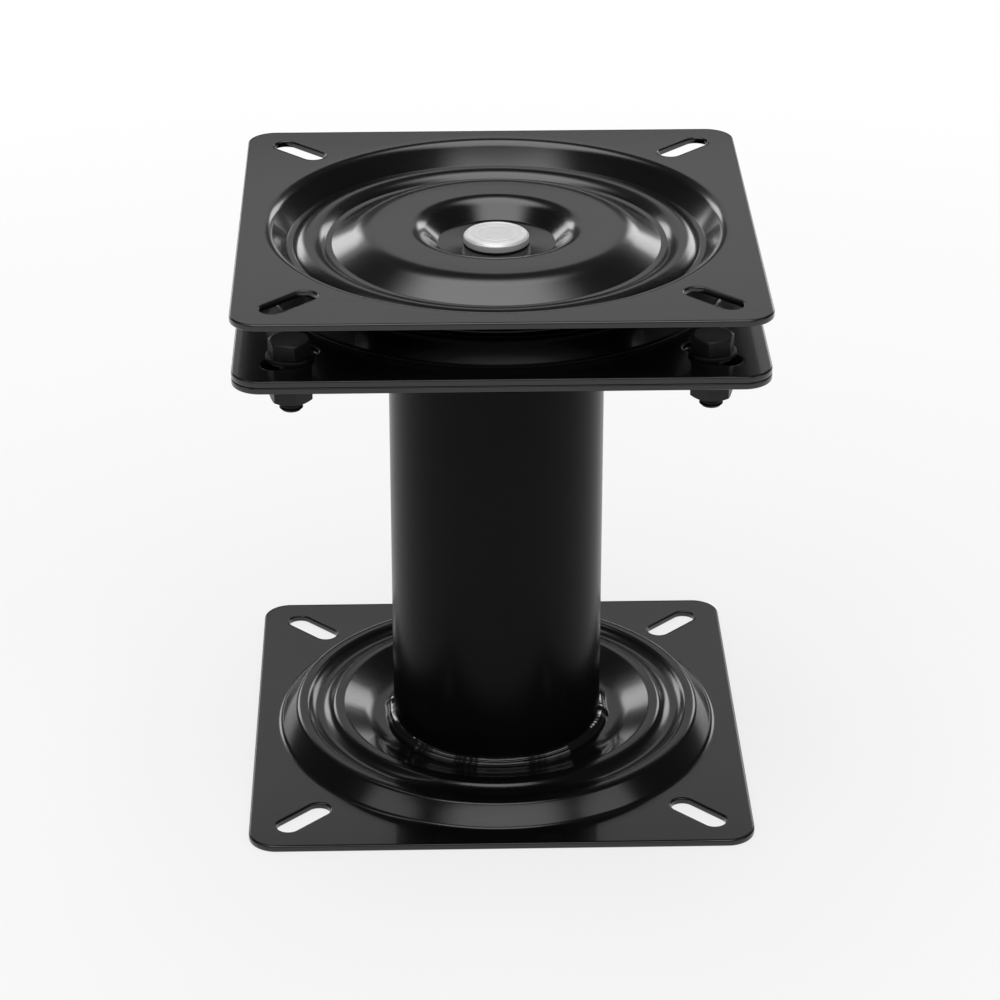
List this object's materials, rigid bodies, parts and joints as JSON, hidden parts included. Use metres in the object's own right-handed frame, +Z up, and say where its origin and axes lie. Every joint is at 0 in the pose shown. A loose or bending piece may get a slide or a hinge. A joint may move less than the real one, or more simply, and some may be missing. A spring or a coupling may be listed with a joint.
{
  "type": "swivel pedestal",
  "caption": "Seat pedestal: a round tube welded between pressed square slotted plates, with a ball-bearing swivel plate bolted on top that turns without limit.",
  "frame": {"origin": "on the axis of the tube and the swivel, at floor level, under the base plate", "axes": "+Z up along the swivel axis, X and Y square to the sides of the plates"},
  "size_m": [0.1778, 0.1778, 0.2001],
  "materials": {
    "black_paint": "gloss",
    "zinc_steel": "satin",
    "black_steel": "satin",
    "ball_steel": "polished",
    "nylon": "matte"
  },
  "bodies": {
    "pedestal": {"base_plate": "black_paint", "column_tube": "black_paint", "column_top_plate": "black_paint", "base_weld": "black_paint", "top_weld": "black_paint", "swivel_lower_plate": "black_paint", "pivot_rivet": "zinc_steel", "centre_washer": "nylon", "fixing_bolts": "black_steel", "head_washers": "black_steel", "nut_washers": "black_steel", "lock_washers": "black_steel", "fixing_nuts": "black_steel"},
    "turntable": {"swivel_upper_plate": "black_paint"},
    "ball_ring": {"ball_cage": "nylon", "bearing_balls": "ball_steel"}
  },
  "joints": [
    {"name": "seat_swivel", "type": "hinge", "parent": "pedestal", "child": "turntable", "pos_m": [0, 0, 0.2001], "axis": [0, 0, 1], "continuous": true},
    {"name": "ball_ring_turn", "type": "hinge", "parent": "pedestal", "child": "ball_ring", "pos_m": [0, 0, 0.18895], "axis": [0, 0, 1], "continuous": true}
  ],
  "couplings": [
    {"joint": "ball_ring_turn", "follows": "seat_swivel", "ratio": 0.5}
  ]
}
